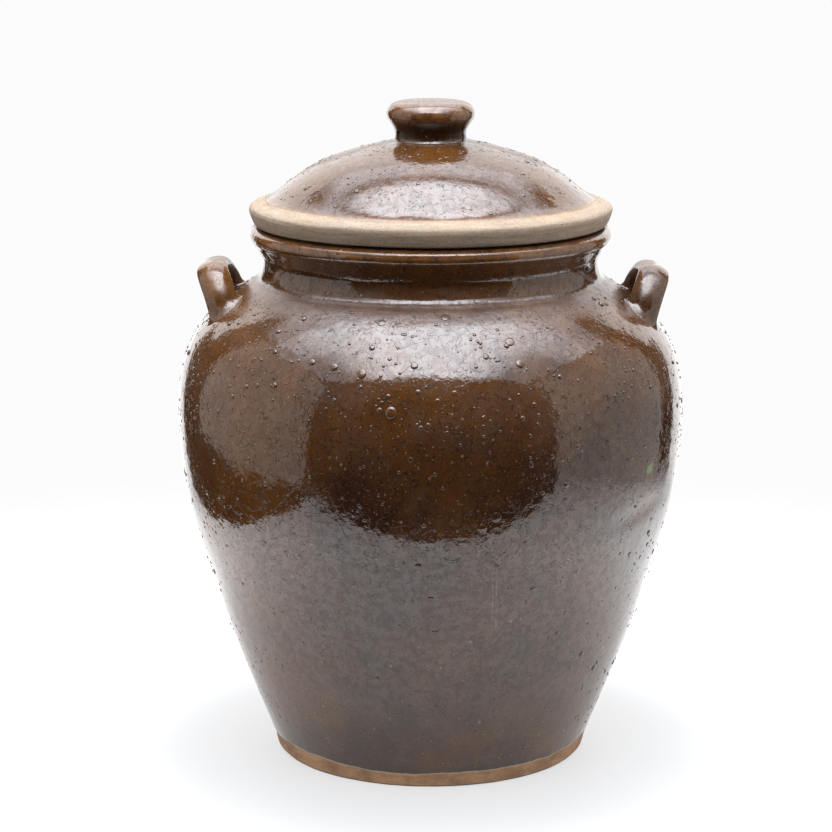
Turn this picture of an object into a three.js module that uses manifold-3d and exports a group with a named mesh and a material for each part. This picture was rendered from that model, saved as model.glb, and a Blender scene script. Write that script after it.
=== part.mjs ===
// A 15 litre stoneware fermenting crock: a thrown jar with two lug handles, a domed lid with a
// button knob, and a pair of half-moon weights that lie inside it and hold the ferment under.
// Millimetres, +Z up, origin at the centre of the foot. The lugs stand on the X axis.
import * as THREE from "three";
import { mergeVertices } from "three/addons/utils/BufferGeometryUtils.js";
import Module from "manifold-3d";

const wasm = await Module();
wasm.setup();

// ---- driving dimensions ----
const SEGMENTS = 48; // round the jar and the lid
const KNOB_SEGMENTS = 32;
const SEAT_GAP = 0.3; // between pieces that rest on each other

const FOOT_R = 94; // outside of the ring that the jar stands on
const FOOT_RING_WIDTH = 11;
const FOOT_RECESS = 3;
const FOOT_TOP_Z = 11; // where the bare foot ends and the wall springs
const FLOOR_Z = 12; // inner floor
const FLOOR_R = 81; // its flat part
const WALL = 9.5;
const SHOULDER_TOP_Z = 291;
const NECK_R = 101.6;
const NECK_BORE_R = 93.5;
const RIM_R = 109.6;
const RIM_Z = 324.2; // flat seat for the lid
const RIM_SEAT_INNER_R = 96;
const RIM_SEAT_OUTER_R = 102.5;

const FLANGE_R = 109.6; // bare outer edge of the lid
const FLANGE_THICK = 11.2;
const LID_RING_R = 91; // locating ring under the lid, loose in the neck
const LID_RING_INNER_R = 83;
const LID_RING_DEPTH = 18;
const DOME_BASE_R = 95;
const DOME_BASE_Z = 17.2; // above the lid's underside
const DOME_SEAT_R = 23.5; // flat under the knob
const DOME_SEAT_Z = 50.8;
const DOME_INNER_Z = 43;
const KNOB_R = 26.6;
const KNOB_NECK_R = 21.4;
const KNOB_TOP_Z = 74;

// Where the middle of each lug meets the shoulder. They are put on by eye, so the right one sits a
// little further down the slope.
const LUGS = [
  { side: "right", turn: 0, seatR: 129.3, seatZ: 272.4 },
  { side: "left", turn: Math.PI, seatR: 126.5, seatZ: 274.8 },
];
const LUG_LEAN = THREE.MathUtils.degToRad(14); // outwards
const LUG_SPAN = 58; // between the middles of the legs
const LUG_RISE = 23.6; // from the seat to the middle of the crown
const LUG_ROOT = 16; // length of leg below the seat, before it is trimmed to the shoulder
const STRAP_WIDTH = 19.4; // along the radius
const STRAP_THICK = 10;
const LUG_GAP = 0.35; // left between a trimmed foot and the shoulder

const WEIGHT_R = 78;
const WEIGHT_THICK = 20;
const WEIGHT_SPLIT = 3; // between the straight edges of the two halves
const WEIGHT_CORNER_R = 6;
const FINGER_HOLE_R = 12;
const FINGER_HOLE_X = 36;
const WEIGHT_BEVEL = 2;

// ---- materials ----
const glaze = new THREE.MeshStandardMaterial({ color: 0x4b2d18, roughness: 0.15, metalness: 0 });
const weightClay = new THREE.MeshStandardMaterial({ color: 0xb89a75, roughness: 0.85, metalness: 0 });

// ---- shape helpers ----
const at = (r, z) => new THREE.Vector2(r, z);

// A smooth stretch of outline through a few points, given as [radius, height].
function curved(points, steps) {
  const path = new THREE.CatmullRomCurve3(
    points.map(([r, z]) => new THREE.Vector3(r, z, 0)),
    false,
    "centripetal",
  );
  return path.getPoints(steps).map((p) => at(p.x, p.y));
}

// A stretch of outline moved sideways by a distance, to the left of its direction of travel.
function offset(outline, distance) {
  return outline.map((p, i) => {
    const before = outline[Math.max(i - 1, 0)];
    const after = outline[Math.min(i + 1, outline.length - 1)];
    const along = after.clone().sub(before).normalize();
    return at(p.x - along.y * distance, p.y + along.x * distance);
  });
}

// A closed outline of radius and height, turned about the Z axis.
function turned(outline, segments = SEGMENTS) {
  return new THREE.LatheGeometry(outline, segments).rotateX(Math.PI / 2);
}

function solidOf(geometry) {
  const bare = geometry.clone().deleteAttribute("normal").deleteAttribute("uv");
  const merged = mergeVertices(bare, 1e-3);
  return new wasm.Manifold(
    new wasm.Mesh({
      numProp: 3,
      vertProperties: merged.getAttribute("position").array,
      triVerts: new Uint32Array(merged.getIndex().array),
    }),
  );
}

function geometryOf(solid) {
  const mesh = solid.getMesh();
  const geometry = new THREE.BufferGeometry();
  geometry.setAttribute("position", new THREE.BufferAttribute(mesh.vertProperties, 3));
  geometry.setIndex(new THREE.BufferAttribute(mesh.triVerts, 1));
  geometry.computeVertexNormals();
  return geometry;
}

function placed(name, geometry, material) {
  const mesh = new THREE.Mesh(geometry, material);
  mesh.name = name;
  return mesh;
}

// ---- the jar ----
const wallOutline = curved(
  [
    [97, FOOT_TOP_Z],
    [113, 51],
    [128.3, 91],
    [140.3, 131],
    [149.6, 171],
    [153.4, 211],
    [150.4, 241],
    [141.8, 261],
    [129.3, 275],
    [115.5, 285.3],
    [107, SHOULDER_TOP_Z],
  ],
  18,
);

const neckAndRim = [
  at(103.3, 294.4),
  at(NECK_R + 0.2, 298.5),
  at(NECK_R, 303.2),
  at(102.8, 307), // lower arris
  at(107, 313.8), // upper arris
  at(109, 316.4),
  at(RIM_R, 319.2),
  at(108.6, 321.8),
  at(105.9, 323.6),
  at(RIM_SEAT_OUTER_R, RIM_Z),
];

function jarOutline() {
  const foot = [
    at(0, FOOT_RECESS),
    at(FOOT_R - FOOT_RING_WIDTH - 2, FOOT_RECESS),
    at(FOOT_R - FOOT_RING_WIDTH, 0),
    at(FOOT_R - 1, 0),
    at(FOOT_R + 0.6, 1.8),
  ];
  const bore = [
    at(RIM_SEAT_INNER_R, RIM_Z),
    at(NECK_BORE_R, RIM_Z - 3),
    at(NECK_BORE_R, 298),
    at(95, 291.5),
  ];
  // The inside follows the outside a wall's thickness in, from the shoulder to the foot.
  const inside = offset(wallOutline, WALL).slice(2, -1).reverse();
  const floor = [at(92.4, 23), at(88, 15.5), at(FLOOR_R, FLOOR_Z), at(0, FLOOR_Z)];
  return [...foot, ...wallOutline, ...neckAndRim, ...bore, ...inside, ...floor];
}

// ---- the lid, measured from the underside of its flange ----
function lidOutline() {
  const ring = [
    at(LID_RING_INNER_R, 6),
    at(LID_RING_INNER_R, 1.5 - LID_RING_DEPTH),
    at(LID_RING_INNER_R + 1.5, -LID_RING_DEPTH),
    at(LID_RING_R - 2, -LID_RING_DEPTH),
    at(LID_RING_R - 0.4, 2 - LID_RING_DEPTH),
    at(LID_RING_R, -2),
    at(LID_RING_R + 1.5, 0),
  ];
  const flange = [
    at(104.8, 0),
    at(106.6, 1),
    at(108.4, 4.8),
    at(FLANGE_R, 8.8),
    at(FLANGE_R - 0.3, FLANGE_THICK),
    at(107.8, FLANGE_THICK + 1.4),
    at(103.6, FLANGE_THICK + 3.2),
    at(98.6, FLANGE_THICK + 4.8),
  ];
  const dome = curved(
    [
      [DOME_BASE_R, DOME_BASE_Z],
      [84.5, 26.4],
      [65, 38.4],
      [40, 46.6],
      [DOME_SEAT_R, DOME_SEAT_Z],
    ],
    8,
  );
  const hollow = curved(
    [
      [0, DOME_INNER_Z],
      [38.5, 38.8],
      [61.4, 31.2],
      [77.5, 20.5],
      [LID_RING_INNER_R, 6],
    ],
    6,
  ).slice(0, -1);
  return [...hollow, ...ring, ...flange, ...dome, at(0, DOME_SEAT_Z)];
}

function knobOutline() {
  const base = DOME_SEAT_Z + SEAT_GAP;
  return [
    at(0, base),
    at(KNOB_NECK_R + 0.6, base),
    at(KNOB_NECK_R, base + 2.6),
    at(KNOB_NECK_R + 0.3, base + 5.4),
    at(KNOB_NECK_R + 2.4, 60.4),
    at(KNOB_R - 0.7, 63.4),
    at(KNOB_R, 66.4),
    at(KNOB_R - 0.6, 69),
    at(KNOB_R - 2.6, 71.6),
    at(KNOB_R - 6, 73.3),
    at(KNOB_R - 13, KNOB_TOP_Z),
    at(0, KNOB_TOP_Z),
  ];
}

// ---- a lug: a strap bent into an arch, its feet trimmed to the shoulder ----
// In its own frame +X points away from the jar, +Z up and the arch spans Y.
function lugGeometry(toJar, seatR) {
  const half = LUG_SPAN / 2;
  // Seen from above, the arch bends round the jar.
  const inward = (y) => Math.sqrt(seatR ** 2 - y ** 2) - seatR;
  const arch = new THREE.CatmullRomCurve3(
    [
      [-half - 1, -LUG_ROOT],
      [-half, 0],
      [-half * 0.9, LUG_RISE * 0.52],
      [-half * 0.5, LUG_RISE * 0.93],
      [0, LUG_RISE],
      [half * 0.5, LUG_RISE * 0.93],
      [half * 0.9, LUG_RISE * 0.52],
      [half, 0],
      [half + 1, -LUG_ROOT],
    ].map(([y, z]) => new THREE.Vector3(inward(y), y, z)),
    false,
    "centripetal",
  );
  const section = new THREE.Shape();
  section.absellipse(0, 0, STRAP_WIDTH / 2, STRAP_THICK / 2, 0, 2 * Math.PI, false, 0);
  const strap = new THREE.ExtrudeGeometry(section, {
    steps: 22,
    curveSegments: 6,
    extrudePath: arch,
    bevelEnabled: false,
  });
  // The jar's outside as one solid, a little larger, seen from the lug's frame.
  const skin = offset(wallOutline, -LUG_GAP);
  const jar = turned([at(0, FOOT_TOP_Z), ...skin, at(0, SHOULDER_TOP_Z)]);
  jar.applyMatrix4(toJar.clone().invert());
  return geometryOf(solidOf(strap).subtract(solidOf(jar)));
}

// ---- a weight: half a thick disc with a finger hole, straight edge towards the middle ----
function weightGeometry() {
  const inset = WEIGHT_BEVEL; // the bevel grows the outline by this much
  const edge = WEIGHT_SPLIT / 2 + inset;
  const radius = WEIGHT_R - inset;
  const corner = WEIGHT_CORNER_R;
  const cornerX = edge + corner;
  const cornerY = Math.sqrt((radius - corner) ** 2 - cornerX ** 2);
  const sweep = Math.atan2(cornerY, cornerX);
  const half = new THREE.Shape();
  half.absarc(0, 0, radius, -sweep, sweep, false);
  half.absarc(cornerX, cornerY, corner, sweep, Math.PI, false);
  half.absarc(cornerX, -cornerY, corner, Math.PI, 2 * Math.PI - sweep, false);
  const hole = new THREE.Path();
  hole.absarc(FINGER_HOLE_X, 0, FINGER_HOLE_R + inset, 0, 2 * Math.PI, true);
  half.holes.push(hole);
  return new THREE.ExtrudeGeometry(half, {
    depth: WEIGHT_THICK - 2 * WEIGHT_BEVEL,
    bevelEnabled: true,
    bevelThickness: WEIGHT_BEVEL,
    bevelSize: WEIGHT_BEVEL,
    bevelSegments: 1,
    curveSegments: 10,
  }).translate(0, 0, WEIGHT_BEVEL);
}

// ---- assembly ----
const crock = new THREE.Group();
crock.add(placed("crock_body", turned(jarOutline()), glaze));

for (const { side, turn, seatR, seatZ } of LUGS) {
  const seat = new THREE.Matrix4()
    .makeTranslation(seatR, 0, seatZ)
    .multiply(new THREE.Matrix4().makeRotationY(LUG_LEAN));
  const mesh = placed(`lug_handle_${side}`, lugGeometry(seat, seatR), glaze);
  mesh.position.set(seatR, 0, seatZ);
  mesh.rotation.y = LUG_LEAN;
  const holder = new THREE.Group();
  holder.rotation.z = turn;
  holder.add(mesh);
  crock.add(holder);
}

const lid = new THREE.Group();
lid.position.z = RIM_Z + SEAT_GAP;
lid.add(placed("lid", turned(lidOutline()), glaze));
lid.add(placed("lid_knob", turned(knobOutline(), KNOB_SEGMENTS), glaze));
crock.add(lid);

const weight = weightGeometry();
for (const [side, turn] of [
  ["right", 0],
  ["left", Math.PI],
]) {
  const mesh = placed(`weight_half_${side}`, weight, weightClay);
  mesh.position.z = FLOOR_Z + SEAT_GAP;
  mesh.rotation.z = turn;
  crock.add(mesh);
}

export default crock;
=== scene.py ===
"""The looks of a stoneware fermenting crock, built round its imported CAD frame.

Every piece is in metres in the frame's own axes: +Z up, origin at the centre of the foot, -Y the front.
Turned pieces take their outline from the CAD node that they stand for, and spin it again much finer.
"""

import math

import bpy
import numpy as np
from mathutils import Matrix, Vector, noise


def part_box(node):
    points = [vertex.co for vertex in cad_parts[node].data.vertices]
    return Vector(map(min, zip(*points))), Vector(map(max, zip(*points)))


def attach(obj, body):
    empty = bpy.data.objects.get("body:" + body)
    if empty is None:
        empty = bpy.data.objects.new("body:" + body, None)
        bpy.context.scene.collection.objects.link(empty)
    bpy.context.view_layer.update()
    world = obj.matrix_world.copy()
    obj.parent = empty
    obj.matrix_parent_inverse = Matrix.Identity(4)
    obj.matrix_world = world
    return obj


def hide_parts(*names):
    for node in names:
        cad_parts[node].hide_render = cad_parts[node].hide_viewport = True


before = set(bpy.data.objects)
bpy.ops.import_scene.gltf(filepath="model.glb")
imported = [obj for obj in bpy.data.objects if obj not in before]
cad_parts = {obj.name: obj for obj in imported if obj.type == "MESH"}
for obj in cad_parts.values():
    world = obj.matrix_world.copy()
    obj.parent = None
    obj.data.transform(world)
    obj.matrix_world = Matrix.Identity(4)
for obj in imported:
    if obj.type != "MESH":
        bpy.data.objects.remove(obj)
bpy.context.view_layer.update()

MM = 0.001

# ---- sizes, in millimetres unless they say otherwise ----
JAR_ROUND = 268  # points round each turned piece
LID_ROUND = 300
KNOB_ROUND = 180
JAR_STEP = 4.3  # widest spacing of points along an outline
LID_STEP = 3.2
KNOB_STEP = 1.0
CRISP_TURN = math.radians(32)  # an outline that turns more than this at a point has a corner there
CORNER_BLUR = 0.55  # how softly the glaze rounds a crisp corner
WALL_BLUR = 5.0  # and a smooth stretch
EVEN_STEP = 0.25  # spacing at which outlines are smoothed

JAR_CREASES = (291.0, 307.0, 313.8)  # heights of the neck's foot and of the bevel under the rim
LID_CREASES = (335.7,)  # arris of the flange

FOOT_GLAZE_LINE = 9.6  # height where the glaze stops above the foot, at the front and the back
FOOT_LINE_RISE = 4.0  # and how much higher at the sides
FOOT_ROUNDING, FOOT_ROUNDING_HEIGHT = 1.7, 3.5
LID_GLAZE_LINE = 99.6  # radius where it stops on the flange
GLAZE_STEP = 0.35  # thickness of the glaze at its edge
GLAZED = -9.0  # the attribute "bare" far inside the glaze
SEAT_INNER, SEAT_OUTER = 95.5, 103.0  # the wiped ring that the lid rests on
SEAT_LOWEST = 322  # the rim's top lies above this height

# A press mark low on the right: degrees from the front, height, how much it climbs for each degree, half its
# length in degrees, half its width, and its depth.
PRESS_AZIMUTH, PRESS_HEIGHT, PRESS_CLIMB = 53, 165.5, 0.35
PRESS_REACH, PRESS_WIDTH, PRESS_DEPTH = 10, 4, 1.0

# Swells of the thrown wall: the size of each kind across the surface, and its depth.
SWELL_SIZE, SWELL_DEPTH = 60, 0.16
RING_SIZE, RING_DEPTH = 9, 0.030
RIPPLE_SIZE, RIPPLE_DEPTH = 13, 0.022
FINE_SIZE, FINE_DEPTH = 6, 0.007
MEAN_DEPTH = 0.35  # keeps the swells under the outline of the CAD node
RING_STRETCH = np.array([0.12, 0.12, 1])  # throwing rings run round the pot

FLANGE_TOP = 336  # the lid's glazed top lies above this height
RING_RADIUS, RING_HEIGHT = 86, 311  # the glaze inside the lid starts here, on the locating ring's inner wall
DOME_TOP = 375

KNOB_DISH_R = 14.0  # the shallow dish in the top of the knob
KNOB_HOLLOW_TOP = 388.0  # height where the hollow under its button ends
FILLET_OUT, FILLET_UP, FILLET_SUNK = 3.0, 2.6, 4.3  # reach of the fillet at its neck, and how deep it goes

LUG_WIDTH, LUG_THICK = 19.4, 10.0
LUG_LEAN = math.radians(14)
LUG_SPAN, LUG_RISE, LUG_ROOT = 58.0, 23.6, 15.0
LUG_RINGS, LUG_SIDES = 190, 72
LUG_BURIED = 3.0  # how deep its ends go into the wall
LUG_WALL_LOW, LUG_WALL_HIGH = 190, 289.5  # heights between which the jar's wall carries it
SMEAR = 6.5  # how far the clay is smeared out at its roots
SMEAR_OUTSIDE, SMEAR_INSIDE = 5.0, 2.0  # and how much less on the side away from the neck, and towards it

# ---- colours, linear ----
DARK_GLAZE = (0.034, 0.0130, 0.0075, 1)
AMBER_GLAZE = (0.165, 0.060, 0.008, 1)
THIN_GLAZE = (0.300, 0.120, 0.032, 1)
HAIRLINE_AND_HOLLOW_SHADE = (0.006, 0.003, 0.002, 1)
IRON_SPOT = (0.008, 0.005, 0.003, 1)
PALE_SEED = (0.30, 0.24, 0.17, 1)
FRECKLE = (0.16, 0.085, 0.045, 1)
SCRAPED_CLAY = (0.42, 0.32, 0.22, 1)
CONTACT_SHADE = (0.055, 0.032, 0.018, 1)
SMOKE = (0.120, 0.075, 0.048, 1)
COOL_GLOSS = (0.97, 0.99, 1, 1)  # reflections drift between a bluish and a warm bloom
WARM_GLOSS = (1, 0.965, 0.955, 1)
MATT_AND_SHADED_GLOSS = (0.36, 0.33, 0.31, 1)  # how much of the gloss is left on a hairline, and in part low on the wall as painted shade and, as painted shade, in the hollow under the knob's button
HOLLOW_SHADE_GLOSS = (0.12, 0.11, 0.11, 1)  # and in the hollow under the knob's button
BUFF_CLAY = (0.39, 0.290, 0.203, 1)
TOASTED_CLAY = (0.31, 0.170, 0.078, 1)
SCORCHED_CLAY = (0.235, 0.115, 0.050, 1)
FOOT_CLAY = (0.41, 0.220, 0.100, 1)
PINK_CLAY = (0.40, 0.285, 0.185, 1)
GREEN_FLECK = (0.15, 0.25, 0.10, 1)
GREEN_FLECK_PLACE = (0.1278, -0.0822, 0.1916)  # in metres, as are the next two
LINE_X, LINE_APART = 0.0360, 0.0011  # the upright line, and half the space between its two strokes
CLAY_GREY = (0.15, 0.110, 0.075, 1)
CLAY_LIGHT = (0.52, 0.42, 0.30, 1)
CLAY_IRON = (0.10, 0.055, 0.030, 1)
GLAZE_IOR = 1.91  # over a real glaze's 1.5 or so, which brings the reflections up to the photo's
CLAY_IOR = 1.45


# ---------------------------------------------------------------- outlines
def meridian(node):
    """A turned CAD node's outline from its lower to its upper pole: an array of (radius, height), mm."""
    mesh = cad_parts[node].data
    spot = {}
    for v in mesh.vertices:
        if abs(v.co.y) < 1e-6 and v.co.x > -1e-6:
            spot[v.index] = (round(v.co.x / MM, 3), round(v.co.z / MM, 3))
    near = {}
    for e in mesh.edges:
        a, b = (spot.get(i) for i in e.vertices)
        if a and b and a != b:
            near.setdefault(a, set()).add(b)
            near.setdefault(b, set()).add(a)
    poles = sorted((p for p in near if p[0] < 1e-3), key=lambda p: p[1])
    walk = [poles[0]]
    while walk[-1] != poles[-1]:
        ahead = [p for p in near[walk[-1]] if len(walk) < 2 or p != walk[-2]]
        walk.append(ahead[0])
    return np.array(walk)


def catmull(points, share):
    """Points on a centripetal Catmull-Rom curve through points, share of a step apart."""
    ends = np.vstack([2 * points[0] - points[1], points, 2 * points[-1] - points[-2]])
    out = []
    for p0, p1, p2, p3 in zip(ends, ends[1:], ends[2:], ends[3:]):
        t1, t2, t3 = np.cumsum([np.linalg.norm(b - a) ** 0.5 for a, b in ((p0, p1), (p1, p2), (p2, p3))])
        count = max(2, int(np.linalg.norm(p2 - p1) / share))
        t = np.linspace(t1, t2, count, endpoint=False)[:, None]
        a1 = (t1 - t) / t1 * p0 + t / t1 * p1
        a2 = (t2 - t) / (t2 - t1) * p1 + (t - t1) / (t2 - t1) * p2
        a3 = (t3 - t) / (t3 - t2) * p2 + (t - t2) / (t3 - t2) * p3
        b1 = (t2 - t) / t2 * a1 + t / t2 * a2
        b2 = (t3 - t) / (t3 - t1) * a2 + (t - t1) / (t3 - t1) * a3
        out.append((t2 - t) / (t2 - t1) * b1 + (t - t1) / (t2 - t1) * b2)
    return np.vstack([*out, points[-1:]])


def arc_length(line):
    return np.concatenate([[0], np.cumsum(np.linalg.norm(np.diff(line, axis=0), axis=1))])


def softened(outline, creases, coarsest, finest=0.45, widest_blur=WALL_BLUR):
    """The outline with curves between rounded corners, and its points closer together at those corners."""
    ahead = np.diff(outline, axis=0)
    turn = np.zeros(len(outline))
    angle = np.arctan2(ahead[:, 1], ahead[:, 0])
    turn[1:-1] = np.abs((np.diff(angle) + math.pi) % (2 * math.pi) - math.pi)
    crisp = turn > CRISP_TURN
    for height in creases:
        on_outside = np.arange(len(outline)) < len(outline) * 0.8
        crisp[np.argmin(np.abs(outline[:, 1] - height) + np.where(on_outside, 0, 1e3))] = True
    crisp[[0, -1]] = True
    at = np.flatnonzero(crisp)
    fine = np.vstack([catmull(outline[a : b + 1], 0.5)[:-1] for a, b in zip(at, at[1:])] + [outline[-1:]])
    s = arc_length(fine)
    corners = np.array([s[np.argmin(np.linalg.norm(fine - outline[i], axis=1))] for i in at])
    even = np.arange(0, s[-1], EVEN_STEP)
    even = np.append(even, s[-1])
    line = np.column_stack([np.interp(even, s, fine[:, k]) for k in (0, 1)])
    to_corner = np.min(np.abs(even[:, None] - corners[None, 1:-1]), axis=1)
    to_pole = np.minimum(even, even[-1] - even)
    blur = np.clip(0.30 * to_corner, CORNER_BLUR, widest_blur)
    blur = np.minimum(blur, np.maximum(0.30 * to_pole, 0.01))
    weights = np.exp(-0.5 * ((even[:, None] - even[None, :]) / blur[:, None]) ** 2)
    line = (weights @ line) / weights.sum(axis=1, keepdims=True)
    step = np.clip(0.21 * to_corner, finest, coarsest)
    many = np.concatenate([[0], np.cumsum(EVEN_STEP / step[:-1])])
    count = int(round(many[-1]))
    wanted = np.interp(np.linspace(0, many[-1], count), many, even)
    result = np.column_stack([np.interp(wanted, even, line[:, k]) for k in (0, 1)])
    result[[0, -1], 0] = 0
    return result


def convexity(line, reach=1.2):
    """How sharply the outline bulges at each point, 0 where it is flat or hollow, near 1 on an arris."""
    s = arc_length(line)
    before = np.column_stack([np.interp(s - reach, s, line[:, k]) for k in (0, 1)])
    after = np.column_stack([np.interp(s + reach, s, line[:, k]) for k in (0, 1)])
    a, b = line - before, after - line
    turn = np.arctan2(a[:, 0] * b[:, 1] - a[:, 1] * b[:, 0], (a * b).sum(axis=1))
    return np.clip(turn / math.radians(36), 0, 1)


# ---------------------------------------------------------------- meshes
def make_piece(name, points, faces, attributes=None):
    mesh = bpy.data.meshes.new(name)
    mesh.from_pydata(points, [], faces)
    mesh.validate()
    for key, values in (attributes or {}).items():
        mesh.attributes.new(key, "FLOAT", "POINT").data.foreach_set("value", np.asarray(values, np.float32))
    mesh.shade_smooth()
    piece = bpy.data.objects.new(name, mesh)
    bpy.context.scene.collection.objects.link(piece)
    return piece


def field(points, size, seed=0.0):
    """Smooth noise from about -1 to 1 at points in mm, with swells of about this size in mm."""
    shift = Vector((seed, seed * 1.7, seed * 2.3))
    return np.array([noise.noise(Vector(p) / size + shift) for p in points])


def spin(line, around):
    """An outline spun round the axis: points in mm, the place of each along the outline, and faces."""
    rings = len(line) - 2
    angle = np.arange(around) * (2 * math.pi / around)
    inner = line[1:-1]
    x = inner[:, :1] * np.cos(angle)
    y = inner[:, :1] * np.sin(angle)
    z = np.repeat(inner[:, 1:], around, axis=1)
    points = np.column_stack([x.ravel(), y.ravel(), z.ravel()])
    points = np.vstack([points, [0, 0, line[0, 1]], [0, 0, line[-1, 1]]])
    index = np.append(np.repeat(np.arange(1, rings + 1), around), [0, len(line) - 1])
    faces = []
    for i in range(rings - 1):
        low, high = i * around, (i + 1) * around
        for k in range(around):
            n = (k + 1) % around
            faces.append((low + k, low + n, high + n, high + k))
    bottom, top, last = rings * around, rings * around + 1, (rings - 1) * around
    for k in range(around):
        n = (k + 1) % around
        faces.append((bottom, n, k))
        faces.append((top, last + k, last + n))
    return points, index, faces


def outward(line):
    """Unit normals of an outline, away from the clay."""
    ahead = np.gradient(line, axis=0)
    normal = np.column_stack([ahead[:, 1], -ahead[:, 0]])
    return normal / np.linalg.norm(normal, axis=1, keepdims=True)


def pushed(points, index, line, depth):
    """The points moved into the clay by depth, in mm."""
    normal = outward(line)[index]
    radius = np.maximum(np.linalg.norm(points[:, :2], axis=1), 1e-6)
    moved = points.copy()
    moved[:, :2] -= points[:, :2] / radius[:, None] * (normal[:, 0] * depth)[:, None]
    moved[:, 2] -= normal[:, 1] * depth
    return moved


def unevenness(points):
    """How far the thrown wall lies under its outline, in mm."""
    swell = field(points, SWELL_SIZE, 3)
    rings = field(points * RING_STRETCH, RING_SIZE, 11)
    ripple = field(points, RIPPLE_SIZE, 23)
    fine = field(points, FINE_SIZE, 31)
    return MEAN_DEPTH + SWELL_DEPTH * swell + RING_DEPTH * rings + RIPPLE_DEPTH * ripple + FINE_DEPTH * fine


def jar_depth(points):
    """How far the jar's outer surface lies under its outline, in mm, less at the foot and the neck."""
    height = points[:, 2]
    share = np.clip((height - 14) / 30, 0, 1) * np.clip((300 - height) / 14, 0.25, 1)
    along = np.degrees(np.arctan2(points[:, 0], -points[:, 1])) - PRESS_AZIMUTH
    above = height - PRESS_HEIGHT - PRESS_CLIMB * along
    press = np.exp(-((along / PRESS_REACH) ** 2) - (above / PRESS_WIDTH) ** 2)
    return unevenness(points) * share + PRESS_DEPTH * press


def dome_depth(points):
    """The same for the top of the lid."""
    return unevenness(points) * 0.8


def glaze_line_wobble(points, seed):
    """How far the glaze's edge wanders, in mm, at each point."""
    angle = np.arctan2(points[:, 1], points[:, 0])
    ring = np.column_stack([np.cos(angle), np.sin(angle), np.zeros(len(points))])
    return 1.5 * field(ring, 0.45, seed) + 0.9 * field(ring, 0.12, seed + 5)


# ---------------------------------------------------------------- turned pieces
def turned_jar():
    cad = meridian("crock_body")
    line = softened(cad, JAR_CREASES, JAR_STEP)
    # Left alone, the curve sags below the flat floor that the weights rest on.
    inside = np.arange(len(line)) > np.argmax(line[:, 1])
    line[inside, 1] = np.maximum(line[inside, 1], cad[-1, 1])
    points, index, faces = spin(line, JAR_ROUND)
    s = arc_length(line)
    top = int(np.argmax(line[:, 1]))
    outer = (np.arange(len(line)) < top)[index]
    wobble = glaze_line_wobble(points, 41)
    sideways = points[:, 0] ** 2 / np.maximum((points[:, :2] ** 2).sum(axis=1), 1e-6)
    line_s = np.interp(FOOT_GLAZE_LINE + FOOT_LINE_RISE * sideways, line[:top, 1], s[:top])
    foot = line_s + wobble - s[index]
    off_rim = np.where(line[:, 1] > SEAT_LOWEST, 0, 1e3)
    seat_from = s[np.argmin(np.abs(line[:, 0] - SEAT_OUTER) + off_rim)]
    seat_to = s[np.argmin(np.abs(line[:, 0] - SEAT_INNER) + off_rim)]
    seat = np.minimum(s[index] - seat_from, seat_to - s[index]) + 0.4 * wobble
    bare = np.maximum(foot, seat)
    depth = np.where(outer, jar_depth(points), 0.5 * unevenness(points))
    depth += GLAZE_STEP * np.clip(bare / 0.5 + 0.5, 0, 1)
    clay = np.clip(foot, 0, 1) * outer
    depth += clay * (0.10 * field(points * [0.15, 0.15, 1], 2.2, 47) + 0.08 * field(points, 5, 49))
    low = np.clip(1 - points[:, 2] / FOOT_ROUNDING_HEIGHT, 0, 1)
    depth += outer * FOOT_ROUNDING * low**2 * np.clip(outward(line)[index, 0], 0, 1)
    # The glaze runs thin over the arrises of the rim.
    thin = convexity(line)[index]
    thin = thin * np.where(points[:, 2] > 300, 0.85, 0)
    piece = make_piece("jar", pushed(points, index, line, depth) * MM, faces, {"bare": bare, "thin": thin})
    return piece, line


def turned_lid():
    # The outline starts in the hollow and comes back over the dome.
    line = softened(meridian("lid"), LID_CREASES, LID_STEP)
    points, index, faces = spin(line, LID_ROUND)
    s = arc_length(line)
    wobble = glaze_line_wobble(points, 57)
    upper = line[:, 1] > FLANGE_TOP
    outside = np.arange(len(line)) > np.argmax(line[:, 0])
    top_s = s[np.argmin(np.abs(line[:, 0] - LID_GLAZE_LINE) + np.where(upper & outside, 0, 1e3))]
    off_ring = np.where(~outside & (line[:, 0] < RING_RADIUS), 0, 1e3)
    ring_s = s[np.argmin(np.abs(line[:, 1] - RING_HEIGHT) + off_ring)]
    bare = np.minimum(s[index] - ring_s, top_s - s[index]) + 0.8 * wobble
    dome = (s[index] > top_s) & (points[:, 2] < DOME_TOP)
    depth = np.where(dome, dome_depth(points), 0.25 * dome_depth(points))
    depth += GLAZE_STEP * np.clip(bare / 0.5 + 0.5, 0, 1)
    clay = np.clip(bare, 0, 1)
    ridges = 0.11 * field(points * [0.06, 0.06, 1], 1.9, 71) + 0.06 * field(points * [0.3, 0.3, 1], 4, 75)
    depth += clay * (ridges + 0.05 * field(points, 5, 73) + 0.12)
    thin = convexity(line)[index] * 0.5
    attributes = {"bare": bare, "thin": thin}
    return make_piece("lid_shell", pushed(points, index, line, depth) * MM, faces, attributes), line


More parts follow.
